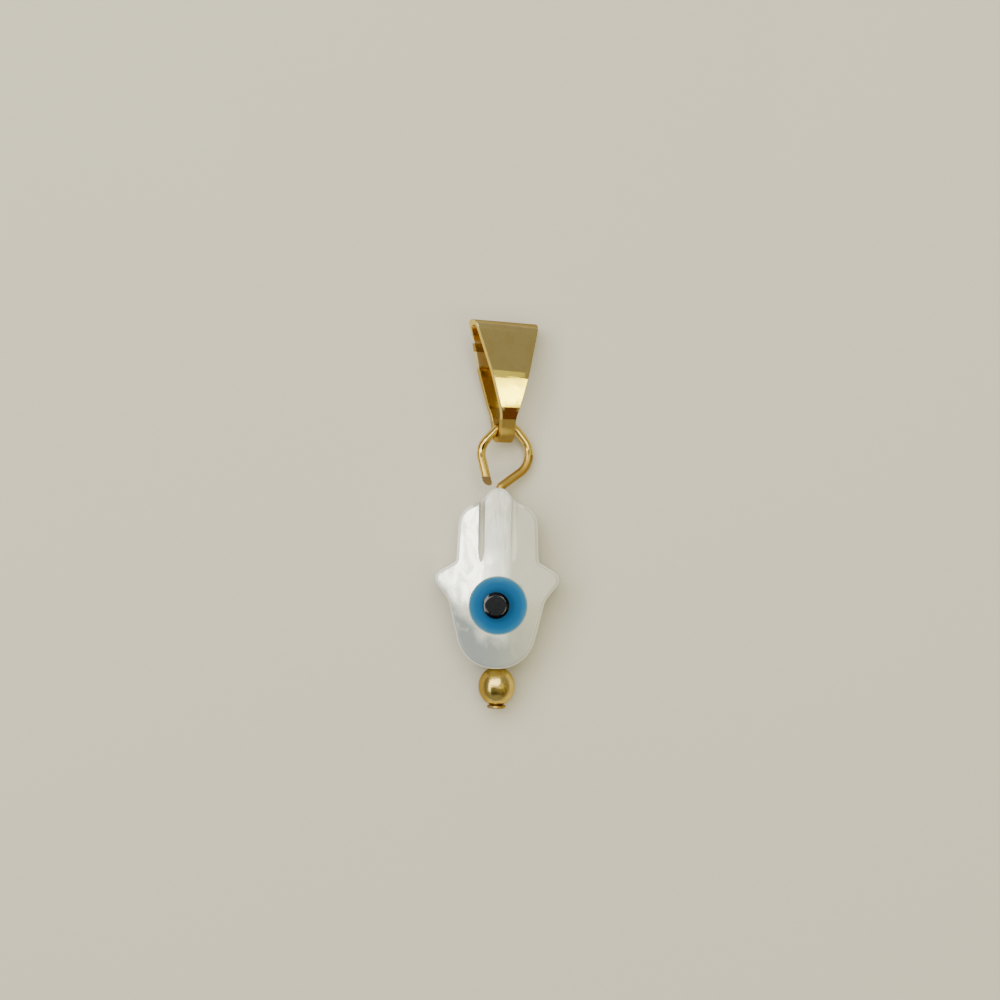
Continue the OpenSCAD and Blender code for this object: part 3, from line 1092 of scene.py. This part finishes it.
class PENDANT_OT_hand(Operator):
    """Saw the shell hand from its outline, round its edges, drill it and cut its fingers"""

    bl_idname = "pendant.hand"
    bl_label = "Shell hand"

    def execute(self, context):
        sizes = context.scene.pendant_hand
        corners = mirrored(scaled(HAND_CORNERS, HALF_HAND, HAND_LENGTH, HALF_HAND))
        route = roundings(corners, closed=True)
        piece = start_prism("shell_hand", route, ROUND_STEP, sizes.thickness)
        pick(lambda edge: level(edge, 2))
        bpy.ops.mesh.bevel(offset=sizes.edge_round, segments=8)
        close_up()
        place_mesh(piece, Matrix.Translation((0, HEEL_Y, HAND_LOW.z)))
        above = (AXIS_X, HEEL_Y + HAND_LENGTH + MM, MIDDLE)
        drill(piece, sizes.bore / 2, HAND_LENGTH + 2 * MM, above, DOWN_PIN)
        pocket = context.scene.pendant_eye.iris_width / 2 + sizes.inlay_gap
        floor = (*EYE_CENTRE.xy, HAND_HIGH.z - sizes.pocket_depth)
        drill(piece, pocket, MM, floor, sides=128)
        for across, up in CUT_ENDS:
            place = (across * HALF_HAND, HEEL_Y + up * HAND_LENGTH, HAND_HIGH.z)
            carve(piece, self.saw_cut(sizes, place))
        self.soften_pocket(piece, pocket, sizes.pocket_round)
        material = shell_material(context.scene.pendant_finishes)
        finish_piece(piece, "hand", material)
        return {"FINISHED"}

    def saw_cut(self, sizes, place):
        """A straight saw cut with a round floor that sinks towards the fingertips."""
        half = sizes.cut_width / 2
        section = [
            Corner(-half, sizes.thickness, 0),
            Corner(-half, 0, half),
            Corner(half, 0, half),
            Corner(half, sizes.thickness, 0),
        ]
        route = roundings(section, closed=False)
        cutter = start_prism("saw_cut", route, CUT_STEP, -HAND_LENGTH)
        close_up()
        sunk = Matrix.Rotation(-sizes.cut_slope, 4, "X")
        place_mesh(cutter, Matrix.Translation(place) @ sunk @ UPRIGHT)
        return cutter

    def soften_pocket(self, piece, radius, rounding):
        """Takes the sharpness off the pocket's rim."""
        select_only(piece)
        bpy.ops.object.mode_set(mode="EDIT")
        pick(
            lambda edge: all_points(
                edge,
                lambda p: p.z > HAND_HIGH.z - TINY
                and abs((p.xy - EYE_CENTRE.xy).length - radius) < 2 * TINY,
            )
        )
        bpy.ops.mesh.bevel(offset=rounding, segments=2)
        close_up()


class PENDANT_OT_eye(Operator):
    """Turn the blue iris and the black pupil"""

    bl_idname = "pendant.eye"
    bl_label = "Eye"

    def execute(self, context):
        self.iris(context)
        self.pupil(context)
        return {"FINISHED"}

    def turned(self, name, corners, centre, step):
        """A solid turned from half its section, whose heights are from the shell's face."""
        route = roundings(corners, closed=False)
        piece = start_point(name, route[0].start)
        draw_along(route, step)
        bpy.ops.mesh.select_all(action="SELECT")
        bpy.ops.mesh.spin(steps=96, angle=2 * math.pi, center=(0, 0, 0), axis=(0, 1, 0))
        close_up()
        place_mesh(piece, Matrix.Translation((*centre.xy, HAND_HIGH.z)) @ UPRIGHT)
        return piece

    def iris(self, context):
        sizes = context.scene.pendant_eye
        half = sizes.iris_width / 2
        corners = [
            Corner(0, -sizes.iris_depth, 0),
            Corner(half, -sizes.iris_depth, 0.04 * MM),  # foot
            Corner(half, sizes.iris_crown * 0.3, 0.02 * MM),  # rim
            Corner(half * 0.55, sizes.iris_crown * 0.88, 12 * MM),  # dome
            Corner(0, sizes.iris_crown, 0),
        ]
        piece = self.turned("iris_disc", corners, EYE_CENTRE, IRIS_STEP)
        gap = context.scene.pendant_hand.inlay_gap
        floor = (*PUPIL_CENTRE.xy, HAND_HIGH.z - sizes.pupil_depth - gap)
        drill(piece, sizes.pupil_width / 2 + gap, MM, floor)
        material = iris_material(context.scene.pendant_finishes, sizes)
        finish_piece(piece, "eye_iris", material)

    def pupil(self, context):
        sizes = context.scene.pendant_eye
        half = sizes.pupil_width / 2
        top = sizes.iris_crown + sizes.pupil_rise
        corners = [
            Corner(0, -sizes.pupil_depth, 0),
            Corner(half, -sizes.pupil_depth, 0.03 * MM),  # foot
            Corner(half, top - 0.09 * MM, 0.04 * MM),  # rim
            Corner(half - sizes.pupil_slope, top, 0.3 * MM),  # shoulder
            Corner(0, top, 0),
        ]
        piece = self.turned("pupil_disc", corners, PUPIL_CENTRE, PUPIL_STEP)
        material = pupil_material(context.scene.pendant_finishes)
        finish_piece(piece, "eye_pupil", material)


class PENDANT_OT_stage(Operator):
    """Set the floor, the lights and the camera"""

    bl_idname = "pendant.stage"
    bl_label = "Stage"

    def execute(self, context):
        self.floor(context.scene.pendant_finishes)
        for sheet in SOFTBOXES:
            self.softbox(sheet)
        for sheet in CARDS:
            self.card(sheet)
        for number, corners in enumerate(PUPIL_CARDS, 1):
            low, high = (EYE_CENTRE.xy + Vector(corner) * MM for corner in corners)
            self.card(Sheet(f"pupil card {number}", low, high, PUPIL_CARD_HEIGHT, DARK))
        self.room(context)
        self.camera(context)
        return {"FINISHED"}

    def floor(self, finishes):
        bpy.ops.mesh.primitive_plane_add(size=1.2)
        floor = named("floor")
        material, tree, shader = new_material("floor", {"Roughness": 0.75})
        soft = tree.noise(tree.millimetres(), 0.02, detail=2.0)
        base = (*finishes.floor, 1)
        darker = tree.mix(1.0, base, (0.96, 0.96, 0.96, 1), blend="MULTIPLY")
        tree.feed(shader, {"Base Color": tree.mix(soft, base, darker)})
        floor.data.materials.append(material)

    def softbox(self, sheet):
        bpy.ops.object.light_add(type="AREA", location=sheet.middle())
        light = named(sheet.name)
        light.data.shape = "RECTANGLE"
        light.data.size, light.data.size_y = sheet.size()
        light.data.energy = sheet.watts
        light.data.color = sheet.tint

    def card(self, sheet):
        """A card that is seen only in reflections."""
        bpy.ops.mesh.primitive_plane_add(size=1, location=sheet.middle())
        card = named(sheet.name)
        card.scale = (*sheet.size(), 1)
        bpy.ops.object.transform_apply()
        values = {"Base Color": (*sheet.tint, 1), "Roughness": 0.9}
        card.data.materials.append(new_material(sheet.name, values)[0])
        card.visible_camera = False
        card.visible_diffuse = False
        card.visible_shadow = False

    def room(self, context):
        """Soft light from all round."""
        world = bpy.data.worlds.new("room")
        world.use_nodes = True
        air = world.node_tree.nodes["Background"].inputs
        air["Color"].default_value = (0.86, 0.85, 0.82, 1)
        air["Strength"].default_value = 0.4
        context.scene.world = world

    def camera(self, context):
        """Looks straight down from 120 mm, turned by a degree as the photo is."""
        bpy.ops.object.camera_add(
            location=(0.111 * MM, 1.107 * MM, 120 * MM), rotation=(0, 0, math.radians(1))
        )
        camera = bpy.context.object
        camera.data.lens = 58.446
        camera.data.clip_start = 0.01
        context.scene.camera = camera


class PENDANT_PT_panel(Panel):
    """Sizes, finishes and pieces of the pendant"""

    bl_label = "Hand pendant"
    bl_space_type = "VIEW_3D"
    bl_region_type = "UI"
    bl_category = "Pendant"

    def draw(self, context):
        layout = self.layout
        for name in GROUPS:
            box = layout.box()
            group = getattr(context.scene, name)
            for prop in group.bl_rna.properties:
                if prop.identifier not in ("rna_type", "name"):
                    box.prop(group, prop.identifier)
        for operator in PIECES:
            layout.operator(operator.bl_idname)


GROUPS = {
    "pendant_hand": HandSizes,
    "pendant_eye": EyeSizes,
    "pendant_wire": WireSizes,
    "pendant_bail": BailSizes,
    "pendant_finishes": Finishes,
}
PIECES = (
    PENDANT_OT_bail,
    PENDANT_OT_head_pin,
    PENDANT_OT_bead,
    PENDANT_OT_hand,
    PENDANT_OT_eye,
    PENDANT_OT_stage,
)
CLASSES = (*GROUPS.values(), *PIECES, PENDANT_PT_panel)


def register():
    for kind in CLASSES:
        bpy.utils.register_class(kind)
    for name, kind in GROUPS.items():
        setattr(bpy.types.Scene, name, PointerProperty(type=kind))


def unregister():
    for name in GROUPS:
        delattr(bpy.types.Scene, name)
    for kind in reversed(CLASSES):
        bpy.utils.unregister_class(kind)


def main():
    register()
    rubbed_metal_group()
    nacre_group()
    bpy.ops.pendant.bail()
    bpy.ops.pendant.head_pin()
    bpy.ops.pendant.bead()
    bpy.ops.pendant.hand()
    bpy.ops.pendant.eye()
    bpy.ops.pendant.stage()


if __name__ == "__main__":
    main()
